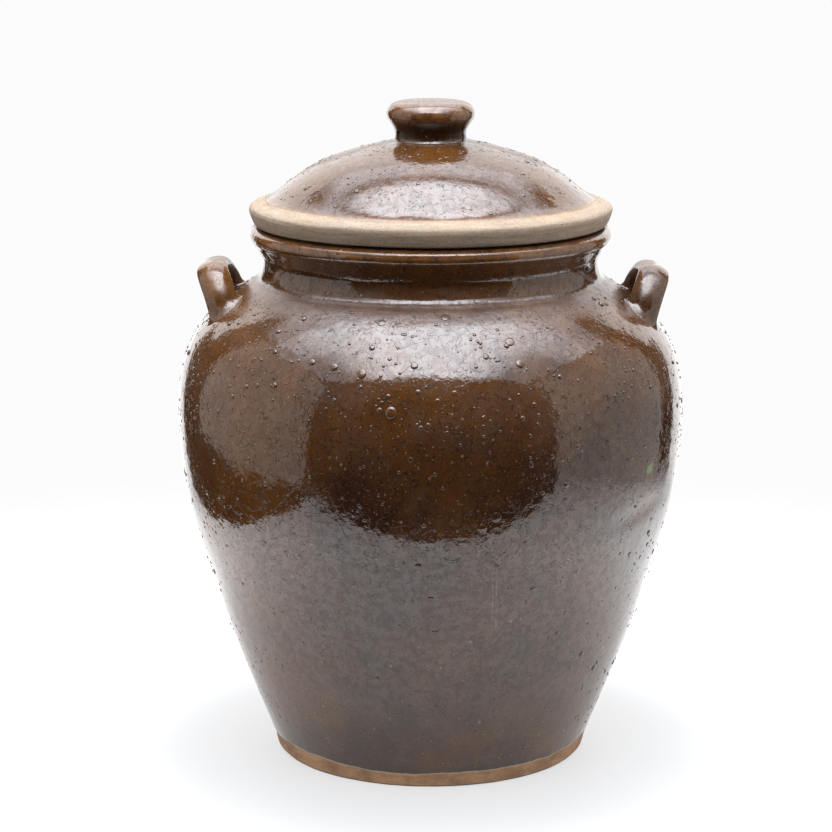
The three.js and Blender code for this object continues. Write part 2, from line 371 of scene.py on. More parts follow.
def turned_knob():
    low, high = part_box("lid_knob")
    base = low.z / MM
    cad = meridian("lid_knob")
    neck = cad[2, 0]
    # A fillet of glaze where the knob's neck meets the dome.
    turns = np.linspace(math.pi / 2, 0, 8)
    fillet = [
        (neck + FILLET_OUT * (1 - math.cos(t)), base + FILLET_UP - FILLET_SUNK * math.sin(t)) for t in turns
    ]
    upper = cad[3:-2]
    top = high.z / MM
    dish = [(KNOB_DISH_R, top - 0.1), (KNOB_DISH_R - 5, top - 0.75), (0, top - 0.6)]
    outline = np.vstack([[(0, fillet[0][1])], fillet, upper, dish])
    line = softened(outline, (), KNOB_STEP, finest=0.4, widest_blur=0.7)
    points, index, faces = spin(line, KNOB_ROUND)
    depth = 0.06 + 0.05 * field(points, 16, 83) + 0.02 * field(points, 5, 87)
    depth *= np.clip((points[:, 2] - base) / 2, 0, 1)
    thin = convexity(line, 2.0)[index]
    bare = np.full(len(points), GLAZED)
    # Painted shade: the hollow under the button is darkened, and its reflections are dimmed.
    height = points[:, 2]
    painted_hollow_shade = np.clip((height - base - 0.8) / 0.8, 0, 1) * np.clip((KNOB_HOLLOW_TOP - height) / 3.5, 0, 1)
    attributes = {"bare": bare, "thin": thin, "painted_hollow_shade": painted_hollow_shade}
    return make_piece("knob", pushed(points, index, line, depth) * MM, faces, attributes)


# ---------------------------------------------------------------- lugs
def jar_wall(jar_line):
    """The stretch of the jar's outline that the lugs stand on, evenly spaced, with its outward normals."""
    top = int(np.argmax(jar_line[:, 1]))
    first = int(np.argmin(np.abs(jar_line[:top, 1] - LUG_WALL_LOW)))
    last = int(np.argmin(np.abs(jar_line[:top, 1] - LUG_WALL_HIGH)))
    wall = jar_line[first:last]
    s = arc_length(wall)
    even = np.arange(0, s[-1], 0.2)
    wall = np.column_stack([np.interp(even, s, wall[:, k]) for k in (0, 1)])
    return wall, outward(wall)


def over_jar(points, wall, normal):
    """Height of points above the jar's outer surface in mm, and the surface's outward normal under them."""
    radius = np.linalg.norm(points[:, :2], axis=1)
    flat = np.column_stack([radius, points[:, 2]])
    nearest = np.array([np.argmin(((wall - p) ** 2).sum(axis=1)) for p in flat])
    height = ((flat - wall[nearest]) * normal[nearest]).sum(axis=1)
    around = points[:, :2] / radius[:, None]
    direction = np.column_stack([around * normal[nearest, :1], normal[nearest, 1]])
    return height + jar_depth(points), direction


def lug_sections(side):
    """A strap arched over the jar's right side: points, the centres of their sections, and their angles."""
    low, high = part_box(f"lug_handle_{side}")
    reach = max(abs(low.x), abs(high.x)) / MM
    w, t = LUG_WIDTH / 2, LUG_THICK / 2
    cos_lean, sin_lean = math.cos(LUG_LEAN), math.sin(LUG_LEAN)
    crown_r = reach - math.hypot(w * cos_lean, t * sin_lean)
    crown_z = high.z / MM - math.hypot(w * sin_lean, t * cos_lean)
    seat_r = crown_r - LUG_RISE * sin_lean
    seat_z = crown_z - LUG_RISE * cos_lean
    half = LUG_SPAN / 2
    knots = [(-1.035, -LUG_ROOT), (-1.0, 0), (-0.9, 0.52 * LUG_RISE), (-0.5, 0.93 * LUG_RISE), (0, LUG_RISE)]
    knots += [(-y, z) for y, z in knots[-2::-1]]
    path = catmull(np.array([(y * half, z) for y, z in knots]), 0.5)
    s = arc_length(path)
    even = np.linspace(0, s[-1], LUG_RINGS)
    path = np.column_stack([np.interp(even, s, path[:, k]) for k in (0, 1)])
    tangent = np.gradient(path, axis=0)
    tangent /= np.linalg.norm(tangent, axis=1, keepdims=True)
    turn = np.arange(LUG_SIDES) * (2 * math.pi / LUG_SIDES)
    across = np.cos(turn) * w
    # Flat under the crown, and down the legs more and more of a ridge on the outer face.
    ridge = np.minimum(np.abs(path[:, :1]) / half, 1) ** 2
    outer_face = np.clip(np.sin(turn), 0, 1) ** (0.9 + 0.9 * ridge) * (t + 1.6 * ridge)
    inner_face = np.clip(-np.sin(turn), 0, 1) ** 0.8 * (t - 1.2 * ridge)
    through = outer_face - inner_face
    bend = (np.sqrt(seat_r**2 - path[:, :1] ** 2) - seat_r) * np.ones((1, LUG_SIDES))
    local_x = bend + across
    local_y = path[:, :1] - tangent[:, 1:] * through
    local_z = path[:, 1:] + tangent[:, :1] * through
    flat = path[:, 1:] * np.ones((1, LUG_SIDES))
    along = path[:, :1] * np.ones((1, LUG_SIDES))
    seat = np.array([seat_r, 0, seat_z])

    def leaned(x, y, z):
        turned = np.stack([x * cos_lean + z * sin_lean, y, z * cos_lean - x * sin_lean], -1)
        return turned.reshape(-1, 3) + seat

    return leaned(local_x, local_y, local_z), leaned(bend, along, flat), turn


def lug(side, jar_line):
    points, centres, turn = lug_sections(side)
    sign = 1 if side == "right" else -1
    wall, wall_normal = jar_wall(jar_line)
    height, normal = over_jar(points, wall, wall_normal)
    away = points - centres
    away -= normal * (away * normal).sum(axis=1, keepdims=True)
    length = np.linalg.norm(away, axis=1)
    away /= np.maximum(length, 1e-6)[:, None]
    outside = np.clip(away[:, 0], 0, 1)
    # The clay is smeared out furthest at the front and back of each root.
    fillet = SMEAR - SMEAR_OUTSIDE * outside - SMEAR_INSIDE * np.clip(-away[:, 0], 0, 1)
    into = np.clip(1 - height / fillet, 0, 1)
    spread = fillet * (1 - np.sqrt(1 - into**2))
    spread += 6.0 * outside**2 * np.exp(-np.maximum(height, 0) / 1.1)
    spread *= np.exp(np.minimum(height, 0) / 3) * np.clip(length / 2.5, 0, 1)
    moved = points + away * spread[:, None]
    wanted = np.where(height > 0, height, height * 1.5 - 0.1) - 0.35 * into
    wanted = np.maximum(wanted, -LUG_BURIED)
    near = np.clip(1.3 - height / fillet, 0, 1)
    for _ in range(3):
        new_height, new_normal = over_jar(moved, wall, wall_normal)
        moved += new_normal * ((wanted - new_height) * near)[:, None]
    rough = 0.10 * field(moved, 22, 91 + sign) + 0.05 * field(moved, 8, 95 + sign)
    moved += away * (rough - 0.1)[:, None]
    moved[:, 0] *= sign
    moved[:, 1] *= sign
    faces = []
    for i in range(LUG_RINGS - 1):
        for k in range(LUG_SIDES):
            n = (k + 1) % LUG_SIDES
            low, high = i * LUG_SIDES, (i + 1) * LUG_SIDES
            faces.append((low + k, low + n, high + n, high + k))
    faces.append(tuple(range(LUG_SIDES))[::-1])
    faces.append(tuple((LUG_RINGS - 1) * LUG_SIDES + k for k in range(LUG_SIDES)))
    edge = np.tile(np.clip(np.abs(np.cos(turn)) * 3.0 - 2.2, 0, 1), LUG_RINGS)
    edge *= np.clip(height / 14, 0, 1)
    attributes = {"bare": np.full(len(moved), GLAZED), "thin": 0.5 * edge}
    piece = make_piece(f"lug_{side}", moved * MM, faces, attributes)
    face_outward(piece)
    return piece


def face_outward(piece):
    """Turns a closed piece's faces to point out."""
    mesh = piece.data
    volume = 0.0
    mesh.calc_loop_triangles()
    for tri in mesh.loop_triangles:
        a, b, c = (mesh.vertices[i].co for i in tri.vertices)
        volume += a.dot(b.cross(c))
    if volume < 0:
        mesh.flip_normals()


# ---------------------------------------------------------------- beads in the glaze
# A bead whose first draw is under this number is this large: smallest and largest radius in mm.
BEAD_SIZES = [(0.62, 0.30, 0.62), (0.955, 0.62, 1.15), (1.0, 1.15, 1.9)]
SMALL_BEAD = 0.62  # below this radius a bead belongs to the jar's piece of small ones

# Radius up to which a bead has this many points round it, and this many rings.
BEAD_FINENESS = [(0.45, 7, 2), (0.7, 9, 3), (1.3, 12, 4), (2.0, 22, 6), (9.0, 28, 9)]
JAR_BEADS, LID_BEADS = 4400, 850
BEAD_LOWEST, BEAD_HIGHEST = 18, 289  # heights on the jar
LID_BEAD_LOWEST, LID_BEAD_INNER = 342, 27  # height and radius on the lid, outside the knob


def scattered(line, span, count, seed, density, steepness):
    """Places for beads on a turned surface: azimuth, distance along the outline, radius and rise in mm."""
    rng = np.random.default_rng(seed)
    s = arc_length(line)
    widest = line[:, 0].max()
    spots = []
    while len(spots) < count:
        at = rng.uniform(*span)
        r, z = (np.interp(at, s, line[:, k]) for k in (0, 1))
        azimuth = rng.uniform(0, 2 * math.pi)
        here = Vector((r * math.cos(azimuth), r * math.sin(azimuth), z))
        crowd = 0.55 + 0.9 * noise.noise(here / 38)
        if rng.uniform() * widest > r or rng.uniform() > density(z) * crowd:
            continue
        pick = rng.uniform()
        smallest, largest = next((a, b) for below, a, b in BEAD_SIZES if pick < below)
        size = rng.uniform(smallest, largest)
        steep = steepness(z)
        spots.append((azimuth, at, size, size * rng.uniform(steep, steep + 0.16)))
    return spots


def beads(name, line, spots, depth, seed):
    """Closed little domes standing on a turned surface, as blisters in the glaze."""
    rng = np.random.default_rng(seed)
    s = arc_length(line)
    normal = outward(line)
    limit = line[:, 0].max() - 0.08
    points, faces = [], []
    for azimuth, at, size, rise in spots:
        r, z = (np.interp(at, s, line[:, k]) for k in (0, 1))
        nr, nz = (np.interp(at, s, normal[:, k]) for k in (0, 1))
        c, q = math.cos(azimuth), math.sin(azimuth)
        out = np.array([c * nr, q * nr, nz])
        side = np.array([-q, c, 0])
        up = np.cross(out, side)
        centre = np.array([r * c, r * q, z])
        centre = centre - out * (depth(centre[None])[0] + 0.02)
        room = (limit - math.hypot(centre[0], centre[1])) / max(nr, 0.1)
        rise = min(rise, max(room, 0.05))
        around, levels = next((n, m) for widest, n, m in BEAD_FINENESS if size < widest)
        stretch = 1 + 0.3 * (rng.uniform() - 0.5)
        first = len(points)
        for j in range(levels):
            tilt = (j / levels) * math.pi / 2
            flat, lift = size * math.cos(tilt) ** 0.9, rise * math.sin(tilt) ** 0.9
            if j == 0:
                lift = -0.15
            for k in range(around):
                a = 2 * math.pi * k / around
                beside = side * (flat * math.cos(a)) + up * (flat * stretch * math.sin(a))
                points.append(centre + beside + out * lift)
        points.append(centre + out * rise)
        tip = len(points) - 1
        for j in range(levels - 1):
            low, high = first + j * around, first + (j + 1) * around
            for k in range(around):
                n = (k + 1) % around
                faces.append((low + k, low + n, high + n, high + k))
        last = first + (levels - 1) * around
        for k in range(around):
            faces.append((last + k, last + (k + 1) % around, tip))
        faces.append(tuple(first + k for k in range(around))[::-1])
    points = np.array(points)
    attributes = {"bare": np.full(len(points), GLAZED), "thin": np.zeros(len(points))}
    piece = make_piece(name, points * MM, faces, attributes)
    face_outward(piece)
    return piece


# Azimuth in degrees from the front towards the right lug, height, radius and rise of the largest ones.
LARGE_JAR_BEADS = [
    (-8.7, 239, 3.3, 1.5),
    (-29, 263, 2.3, 0.8),
    (-23, 261.5, 2.4, 0.8),
    (-16, 259, 2.8, 0.9),
    (13, 268, 1.7, 0.6),
    (20, 274.5, 2.8, 0.75),
    (21, 263.5, 2.7, 0.75),
    (-4, 264, 2.2, 0.7),
    (5, 250, 1.6, 0.6),
    (-3, 250.5, 1.6, 0.6),
    (11, 172, 2.8, 0.4),
    (-3, 149, 2.2, 0.35),
    (14, 178, 3.0, 0.4),
    (4, 287, 2.4, 0.5),
    (-14, 284, 2.4, 0.5),
]


# ---------------------------------------------------------------- weights
def pressed_weight(side):
    """A half-moon weight with its edges rubbed round, from the CAD solid that it stands for."""
    node = f"weight_half_{side}"
    piece = bpy.data.objects.new(f"weight_{side}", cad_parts[node].data.copy())
    bpy.context.scene.collection.objects.link(piece)
    remesh = piece.modifiers.new("even", "REMESH")
    remesh.mode, remesh.voxel_size = "VOXEL", 1.15 * MM
    smooth = piece.modifiers.new("rubbed", "SMOOTH")
    smooth.factor, smooth.iterations = 0.5, 9
    graph = bpy.context.evaluated_depsgraph_get()
    mesh = bpy.data.meshes.new_from_object(piece.evaluated_get(graph))
    piece.modifiers.clear()
    piece.data = mesh
    mesh.name = piece.name
    co = np.zeros(len(mesh.vertices) * 3)
    mesh.vertices.foreach_get("co", co)
    points = co.reshape(-1, 3) / MM
    middle = points.mean(axis=0)
    dent = 0.12 * field(points, 18, 101) + 0.07 * field(points, 5, 103) - 0.12
    points += (points - middle) * (dent / np.linalg.norm(points - middle, axis=1))[:, None]
    mesh.vertices.foreach_set("co", (points * MM).ravel())
    mesh.shade_smooth()
    return piece


# ---------------------------------------------------------------- materials
class Shader:
    """Short calls for building the node tree of one material or world."""

    def __init__(self, owner):
        owner.use_nodes = True
        self.owner = owner
        self.tree = owner.node_tree
        self.tree.nodes.clear()

    def make(self, kind, values=(), **settings):
        made = self.tree.nodes.new("ShaderNode" + kind)
        for key, value in settings.items():
            setattr(made, key, value)
        for key, value in dict(values).items():
            if isinstance(value, bpy.types.NodeSocket):
                self.tree.links.new(value, made.inputs[key])
            else:
                made.inputs[key].default_value = value
        return made

    def math(self, operation, a, b=0.0, clamp=False):
        return self.make("Math", {0: a, 1: b}, operation=operation, use_clamp=clamp).outputs[0]

    def times(self, a, b, clamp=False):
        return self.math("MULTIPLY", a, b, clamp)

    def plus(self, a, b, clamp=False):
        return self.math("ADD", a, b, clamp)

    def minus(self, a, b):
        return self.math("SUBTRACT", a, b)

    def most(self, a, b):
        return self.math("MAXIMUM", a, b)

    def mix(self, share, a, b):
        made = self.make("Mix", {"Factor": share, "A": a, "B": b}, data_type="RGBA")
        return made.outputs["Result"]

    def mix_number(self, share, a, b):
        return self.make("Mix", {0: share, 2: a, 3: b}, data_type="FLOAT").outputs[0]

    def ramp(self, value, low, high, kind="SMOOTHSTEP"):
        """0 where value is at low, 1 where it is at high."""
        values = {"Value": value, "From Min": low, "From Max": high}
        return self.make("MapRange", values, interpolation_type=kind).outputs[0]

    def slope(self, value, low, high, at_low, at_high):
        """at_low where value is at low, at_high where it is at high, and evenly in between."""
        values = {"Value": value, "From Min": low, "From Max": high, "To Min": at_low, "To Max": at_high}
        return self.make("MapRange", values).outputs[0]

    def noise(self, place, scale, detail=3.0, rough=0.5, output="Fac"):
        values = {"Vector": place, "Scale": scale, "Detail": detail, "Roughness": rough}
        return self.make("TexNoise", values).outputs[output]

    def cells(self, place, scale, feature="F1"):
        return self.make("TexVoronoi", {"Vector": place, "Scale": scale}, feature=feature)

    def attribute(self, name):
        return self.make("Attribute", attribute_name=name).outputs["Fac"]

    def bent(self, place, scale, amount):
        """The place moved about by noise, so that a pattern on it wanders."""
        swirl = self.noise(place, scale, 2, output="Color")
        push = self.make("VectorMath", {0: swirl, 1: (0.5, 0.5, 0.5)}, operation="SUBTRACT")
        scaled = self.make("VectorMath", {0: push.outputs[0], "Scale": amount}, operation="SCALE")
        return self.make("VectorMath", {0: place, 1: scaled.outputs[0]}, operation="ADD").outputs[0]

    def finish(self, shader, output="OutputMaterial"):
        """Joins the shader to the output, and gives back the material or world."""
        self.make(output, {"Surface": shader.outputs[0]})
        return self.owner


def hairlines(m, place, scale, width, bend, keep):
    """Fine strokes along the edges of wandering cells, 1 on a stroke."""
    edge = m.cells(m.bent(place, scale * 0.8, bend), scale, "DISTANCE_TO_EDGE").outputs["Distance"]
    broken = m.ramp(m.noise(place, scale * 0.9, 2), keep, keep + 0.08)
    return m.times(m.ramp(edge, width, 0.0), broken)


def curls(m, place, scale, width, keep):
    """Short bent strokes, 1 on a stroke."""
    wave = m.noise(place, scale, 1.5)
    off = m.math("ABSOLUTE", m.minus(wave, 0.5))
    broken = m.ramp(m.noise(place, scale * 1.05, 1.0), keep, keep + 0.06)
    return m.times(m.ramp(off, width, 0.2 * width), broken)


def dots(m, seeds, radius, inner, channel, rarity, fade=0.01):
    """Round dots, 1 in a dot, in those cells of seeds whose random number is over rarity."""
    number = m.make("SeparateColor", {0: seeds.outputs["Color"]}).outputs[channel]
    near = m.ramp(seeds.outputs["Distance"], radius, inner)
    return m.times(near, m.ramp(number, rarity, rarity + fade))


def glaze_parts(m, place):
    """Colour, roughness, height in mm and gloss of the brown glaze."""
    broad = m.ramp(m.noise(place, 17, 3, 0.55), 0.38, 0.66)
    cloud = m.ramp(m.noise(place, 70, 4, 0.62), 0.35, 0.75)
    across, _, height_above = m.make("SeparateXYZ", {0: place}).outputs[:3]
    warmth_and_painted_light = m.plus(m.times(broad, 0.28), m.times(cloud, 0.18))
    warmth_and_painted_light = m.plus(warmth_and_painted_light, m.times(m.ramp(height_above, 0.17, 0.29), 0.22))
    # Painted light: the left side, on -X, which faces the left panel, is painted warmer and lighter.
    warmth_and_painted_light = m.plus(warmth_and_painted_light, m.times(m.ramp(across, -0.06, -0.12), 0.32), clamp=True)
    colour = m.mix(warmth_and_painted_light, DARK_GLAZE, AMBER_GLAZE)
    smoke = m.ramp(m.noise(m.bent(place, 60, 0.02), 42, 5, 0.7), 0.50, 0.70)
    colour = m.mix(m.times(smoke, 0.32), colour, SMOKE)
    worn = m.ramp(m.noise(place, 140, 3), 0.25, 0.6)
    colour = m.mix(m.times(m.attribute("thin"), worn, clamp=True), colour, THIN_GLAZE)
    tall = m.make("Mapping", {"Vector": place, "Scale": (1, 1, 0.62)}).outputs[0]
    strokes = m.times(hairlines(m, tall, 92, 0.022, 0.013, 0.47), 0.75)
    strokes = m.most(strokes, curls(m, place, 130, 0.016, 0.455))
    strokes = m.most(strokes, m.times(curls(m, place, 230, 0.022, 0.48), 0.85))
    # Fewer of them low on the wall.
    drawn = m.plus(m.times(m.ramp(height_above, 0.03, 0.20), 0.65), 0.35)
    strokes = m.times(strokes, drawn)
    colour = m.mix(m.times(strokes, 0.7), colour, HAIRLINE_AND_HOLLOW_SHADE)
    # Painted shade: the hollow under the knob's button is darkened with the hairline colour.
    colour = m.mix(m.times(m.attribute("painted_hollow_shade"), 0.6), colour, HAIRLINE_AND_HOLLOW_SHADE)
    # A fine freckle, lighter and darker than the rest.
    freckle = m.noise(place, 760, 3, 0.65)
    light_freckle = m.ramp(freckle, 0.56, 0.70)
    dark_freckle = m.ramp(freckle, 0.44, 0.32)
    colour = m.mix(m.times(light_freckle, 0.30), colour, FRECKLE)
    colour = m.mix(m.times(dark_freckle, 0.45), colour, IRON_SPOT)
    # Pale seeds and dark iron spots, about half a millimetre across.
    seeds = m.cells(place, 420)
    pale = dots(m, seeds, 0.22, 0.10, 0, 0.89)
    dark = dots(m, seeds, 0.26, 0.12, 1, 0.82)
    colour = m.mix(m.times(dark, 0.7), colour, IRON_SPOT)
    colour = m.mix(m.times(pale, 0.7), colour, PALE_SEED)
    # Pale blisters under the surface, a millimetre and more across.
    blister = dots(m, m.cells(place, 175), 0.17, 0.11, 0, 0.935, fade=0.005)
    colour = m.mix(m.times(blister, 0.5), colour, PALE_SEED)
    # Smudged here and there, and most of all in the collar where the shoulder meets the neck.
    smudge = m.ramp(m.noise(place, 35, 4, 0.6), 0.35, 0.75)
    collar = m.times(m.ramp(height_above, 0.278, 0.286), m.ramp(height_above, 0.2945, 0.2915))
    smudge = m.plus(smudge, m.times(collar, 4.0))
    roughness = m.plus(m.times(smudge, 0.06), 0.035)
    roughness = m.plus(roughness, m.times(strokes, 0.2))
    height = m.times(m.noise(place, 75, 2, 0.5), 0.28)
    height = m.plus(height, m.times(m.noise(place, 190, 2, 0.5), 0.12))
    height = m.plus(height, m.times(m.noise(place, 520, 2, 0.6), 0.026))
    height = m.minus(height, m.times(strokes, 0.022))
    height = m.plus(height, m.times(m.most(pale, dark), 0.02))
    height = m.plus(height, m.times(blister, 0.05))
    # What takes the gloss away: strokes, freckle, spots and peel, and low on the wall a painted shade that
    # dims the reflections near the foot.
    dullness_and_painted_shade = m.most(m.times(strokes, 0.85), m.times(dark_freckle, 0.35))
    dullness_and_painted_shade = m.most(dullness_and_painted_shade, m.times(dark, 0.85))
    peel = m.ramp(m.noise(place, 230, 3, 0.6), 0.58, 0.36)
    dullness_and_painted_shade = m.most(dullness_and_painted_shade, m.times(peel, 0.38))
    dullness_and_painted_shade = m.most(dullness_and_painted_shade, m.times(m.ramp(height_above, 0.080, 0.015), 0.60))
    gloss = m.mix(m.ramp(m.noise(place, 24, 4, 0.65), 0.36, 0.62), COOL_GLOSS, WARM_GLOSS)
    gloss = m.mix(dullness_and_painted_shade, gloss, MATT_AND_SHADED_GLOSS)
    # Painted shade: the reflections in the hollow under the knob's button are dimmed.
    return colour, roughness, height, m.mix(m.attribute("painted_hollow_shade"), gloss, HOLLOW_SHADE_GLOSS)


SCRAPED_DRAG, TURNED_DRAG = 0.22, 0.07  # how streaky the clay of the foot and of the lid's flange is


def clay_parts(m, place, pale, toasted, drag):
    """Colour, roughness and height in mm of bare clay. A smaller drag makes its turning lines longer."""
    drift = m.ramp(m.noise(place, 48, 5, 0.65), 0.38, 0.62)
    colour = m.mix(drift, pale, toasted)
    grain = m.noise(place, 640, 4, 0.75)
    colour = m.mix(m.times(m.ramp(grain, 0.48, 0.66), 0.55), colour, CLAY_GREY)
    stretched = m.make("Mapping", {"Vector": place, "Scale": (drag, drag, 1)}).outputs[0]
    smear = m.noise(stretched, 620, 4, 0.75)
    colour = m.mix(m.times(m.ramp(smear, 0.47, 0.66), 0.42), colour, CLAY_GREY)
    colour = m.mix(m.times(m.ramp(smear, 0.46, 0.30), 0.35), colour, CLAY_LIGHT)
    iron = dots(m, m.cells(place, 520), 0.30, 0.12, 0, 0.90)
    colour = m.mix(m.times(iron, 0.8), colour, CLAY_IRON)
    height = m.plus(m.times(grain, 0.08), m.times(smear, 0.12))
    height = m.minus(height, m.times(iron, 0.06))
    roughness = m.plus(m.times(grain, 0.15), 0.72)
    return colour, roughness, height


def jar_marks(m, place, colour):
    """The colour with the jar's two flaws: a double upright line in front and a green fleck at the right."""
    x, y, z = m.make("SeparateXYZ", {0: place}).outputs[:3]
    off_line = m.math("ABSOLUTE", m.minus(x, LINE_X))
    beside = m.math("ABSOLUTE", m.minus(off_line, LINE_APART))
    line = m.times(m.ramp(beside, 0.0006, 0.0002), m.ramp(y, -0.02, -0.05))
    length = m.times(m.ramp(z, 0.104, 0.112), m.ramp(z, 0.150, 0.142))
    line = m.times(m.times(line, length), 0.40)
    line = m.times(line, m.ramp(m.noise(place, 260, 2), 0.35, 0.6))
    colour = m.mix(line, colour, PALE_SEED)
    far = m.make("VectorMath", {0: m.bent(place, 300, 0.006), 1: GREEN_FLECK_PLACE}, operation="DISTANCE")
    fleck = m.times(m.ramp(far.outputs["Value"], 0.0046, 0.0022), 0.85)
    return m.mix(fleck, colour, GREEN_FLECK)


def glazed_material(name, pale, toasted, of_jar):
    """Glaze that stops at the line where the attribute "bare" passes zero, with bare clay beyond it."""
    m = Shader(bpy.data.materials.new(name))
    place = m.make("TexCoord").outputs["Object"]
    colour, roughness, height, gloss = glaze_parts(m, place)
    if of_jar:
        colour = jar_marks(m, place, colour)
    drag = SCRAPED_DRAG if of_jar else TURNED_DRAG
    clay_colour, clay_roughness, clay_height = clay_parts(m, place, pale, toasted, drag)
    crumble = m.times(m.noise(place, 700, 3, 0.6), 0.9)
    edge = m.plus(m.attribute("bare"), m.minus(crumble, 0.45))
    bare = m.ramp(edge, -0.12, 0.12)
    flash = m.ramp(edge, 1.6, 0.1)
    if of_jar:
        clay_colour = m.mix(m.times(flash, 0.75), clay_colour, SCRAPED_CLAY)
        # Painted shade: the foot is darkened towards its bottom edge, within about two millimetres of the
        # floor.
        above = m.make("SeparateXYZ", {0: place}).outputs[2]
        contact_shade = m.times(m.ramp(above, 0.0022, 0.0006), 0.85)
        clay_colour = m.mix(contact_shade, clay_colour, CONTACT_SHADE)
        colour = m.mix(m.times(m.ramp(edge, -6.0, 0.0), 0.6), colour, IRON_SPOT)
    else:
        clay_colour = m.mix(m.times(flash, 0.65), clay_colour, TOASTED_CLAY)
        colour = m.mix(m.times(m.ramp(edge, -2.2, 0.0), 0.5), colour, THIN_GLAZE)
    bump = m.make("Bump", {"Distance": MM, "Height": m.mix_number(bare, height, clay_height)})
    values = {
        "Base Color": m.mix(bare, colour, clay_colour),
        "Roughness": m.mix_number(bare, roughness, clay_roughness),
        "Normal": bump.outputs[0],
        "IOR": GLAZE_IOR,
        "Specular Tint": gloss,
    }
    return m.finish(m.make("BsdfPrincipled", values))


def bare_material(name):
    m = Shader(bpy.data.materials.new(name))
    place = m.make("TexCoord").outputs["Object"]
    colour, roughness, height = clay_parts(m, place, BUFF_CLAY, TOASTED_CLAY, SCRAPED_DRAG)
    bump = m.make("Bump", {"Distance": MM, "Height": height})
    values = {"Base Color": colour, "Roughness": roughness, "Normal": bump.outputs[0], "IOR": CLAY_IOR}
    return m.finish(m.make("BsdfPrincipled", values))


# ---------------------------------------------------------------- assembly
def dress(piece, material, body, slot, *nodes):
    piece.data.materials.clear()
    piece.data.materials.append(material)
    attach(piece, body)
    if nodes:
        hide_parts(*nodes)


def build():
    jar_glaze = glazed_material("brown_glaze_on_jar", FOOT_CLAY, SCORCHED_CLAY, of_jar=True)
    lid_glaze = glazed_material("brown_glaze_on_lid", BUFF_CLAY, PINK_CLAY, of_jar=False)
    clay = bare_material("fired_clay")
    jar, jar_line = turned_jar()
    dress(jar, jar_glaze, "crock", "glaze", "crock_body")
    for side in ("left", "right"):
        dress(lug(side, jar_line), jar_glaze, "crock", "glaze", f"lug_handle_{side}")
    shell, lid_line = turned_lid()
    dress(shell, lid_glaze, "lid", "glaze", "lid")
    dress(turned_knob(), lid_glaze, "lid", "glaze", "lid_knob")
    for side in ("left", "right"):
        dress(pressed_weight(side), clay, f"weight_{side}", "bare_clay", f"weight_half_{side}")

    s = arc_length(jar_line)
    top = int(np.argmax(jar_line[:, 1]))
    span = [np.interp(z, jar_line[:top, 1], s[:top]) for z in (BEAD_LOWEST, BEAD_HIGHEST)]
    spots = scattered(jar_line, span, JAR_BEADS, 7, jar_bead_density, jar_bead_steepness)
    for azimuth, height, size, rise in LARGE_JAR_BEADS:
        at = np.interp(height, jar_line[:top, 1], s[:top])
        spots.append((math.radians(azimuth - 90), at, size, rise))
    small = [spot for spot in spots if spot[2] < SMALL_BEAD]
    large = [spot for spot in spots if spot[2] >= SMALL_BEAD]
    dress(beads("small_beads_jar", jar_line, small, jar_depth, 8), jar_glaze, "crock", "glaze")
    dress(beads("large_beads_jar", jar_line, large, jar_depth, 9), jar_glaze, "crock", "glaze")
    s = arc_length(lid_line)
    over = (lid_line[:, 1] > LID_BEAD_LOWEST) & (np.arange(len(lid_line)) > np.argmax(lid_line[:, 0]))
    outer = np.flatnonzero(over & (lid_line[:, 0] > LID_BEAD_INNER))
    span = (s[outer[0]], s[outer[-1]])
    spots = scattered(lid_line, span, LID_BEADS, 19, lambda z: 1.0, lambda z: 0.25)
    dress(beads("glaze_beads_lid", lid_line, spots, dome_depth, 20), lid_glaze, "lid", "glaze")


def jar_bead_density(z):
    """Beads are thick on the shoulder and thin out down the wall."""
    return 0.45 + 0.55 * min(max((z - 120) / 130, 0), 1)


def jar_bead_steepness(z):
    """The least rise of the beads as a share of their radius: they are steeper on the shoulder."""
    return 0.24 + 0.20 * min(max((z - 205) / 40, 0), 1)


# ---------------------------------------------------------------- stage, light and camera
def area_light(name, centre, facing, size, radiance, tint=(1, 1, 1)):
    """A soft panel of width and height in metres that the camera doesn't see."""
    data = bpy.data.lights.new(name, "AREA")
    data.shape = "RECTANGLE"
    data.size, data.size_y = size
    data.energy = radiance * math.pi * size[0] * size[1]
    data.color = tint
    light = bpy.data.objects.new(name, data)
    bpy.context.scene.collection.objects.link(light)
    light.location = centre
    light.rotation_euler = Vector(facing).to_track_quat("-Z", "Y").to_euler()
    light.visible_camera = False
    return light


SOFTBOX_HALF, SOFTBOX_FRONT, SOFTBOX_BACK, SOFTBOX_HEIGHT = 1.6, -1.37, 1.30, 1.6
SOFTBOX_MIDDLE, SOFTBOX_BEHIND, SOFTBOX_EDGE, SOFTBOX_WINGS = 5.6, 2.5, 0.95, 1.25  # radiance of its parts
SOFTBOX_TINT = (0.94, 0.99, 1.07, 1)


